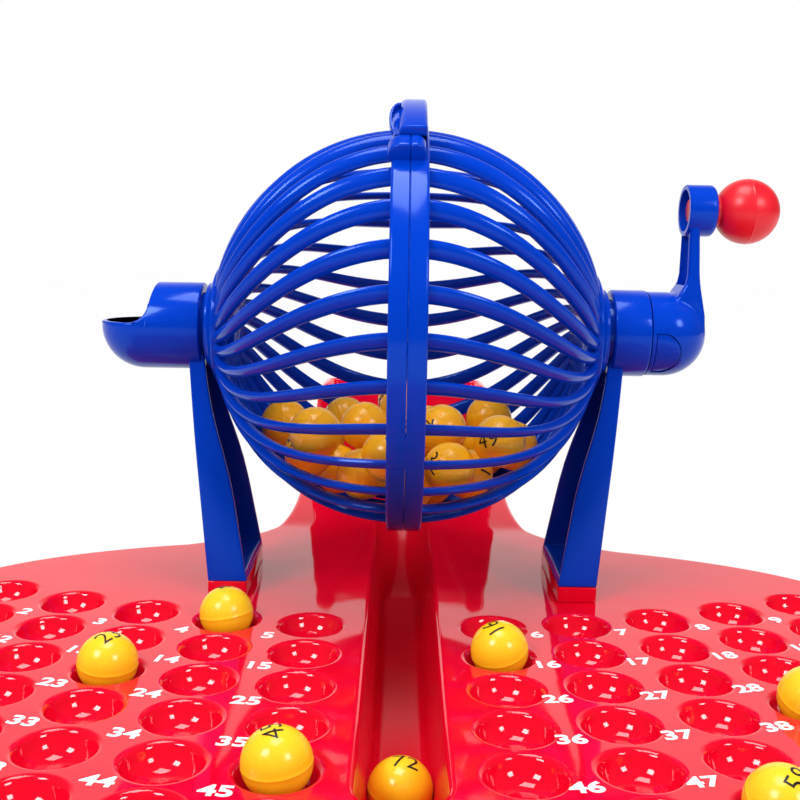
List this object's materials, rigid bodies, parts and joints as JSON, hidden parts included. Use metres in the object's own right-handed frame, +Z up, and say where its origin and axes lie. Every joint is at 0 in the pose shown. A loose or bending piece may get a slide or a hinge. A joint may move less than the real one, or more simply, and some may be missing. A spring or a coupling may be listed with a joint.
{
  "type": "bingo cage",
  "caption": "Hand-cranked ribbed ball cage on two legs over a moulded board with a ball trough and numbered dimples.",
  "frame": {"origin": "bottom centre of the whole object's box", "axes": "+X towards the crank, -Y towards the front of the board, +Z up"},
  "size_m": [0.38, 0.458, 0.2312],
  "materials": {
    "blue_plastic": "glossy injection-moulded",
    "red_board": "glossy thin moulding",
    "red_knob": "satin-gloss moulded",
    "ball_yellow": "smooth hollow balls",
    "print_white": "printed numbers"
  },
  "bodies": {
    "stand": {"board_deck": "red_board", "left_field_rear": "red_board", "left_field_middle": "red_board", "left_field_front": "red_board", "right_field_rear": "red_board", "right_field_middle": "red_board", "right_field_front": "red_board", "board_skirt": "red_board", "ball_trough": "red_board", "neck_ramp": "red_board", "rear_chute": "red_board", "leg_sockets": "red_board", "left_leg": "blue_plastic", "right_leg": "blue_plastic", "left_bearing": "blue_plastic", "ball_scoop": "blue_plastic", "right_bearing": "blue_plastic", "balls_in_cage": "ball_yellow", "balls_on_board": "ball_yellow", "ball_in_trough": "ball_yellow"},
    "cage": {"left_ring": "blue_plastic", "right_ring": "blue_plastic", "left_ribs": "blue_plastic", "right_ribs": "blue_plastic", "left_hub": "blue_plastic", "right_hub": "blue_plastic", "left_journal": "blue_plastic", "right_journal": "blue_plastic", "crank": "blue_plastic"},
    "latch": {"latch_clip": "blue_plastic"},
    "knob": {"knob": "red_knob"}
  },
  "joints": [
    {"name": "cage_spin", "type": "hinge", "parent": "stand", "child": "cage", "pos_m": [0, 0.071, 0.142], "axis": [1, 0, 0], "continuous": true},
    {"name": "knob_spin", "type": "hinge", "parent": "cage", "child": "knob", "pos_m": [0.135, 0.071, 0.1916], "axis": [1, 0, 0], "continuous": true},
    {"name": "latch_slide", "type": "hinge", "parent": "cage", "child": "latch", "pos_m": [0, 0.071, 0.142], "axis": [-1, 0, 0], "range_deg": [0, 24]}
  ]
}
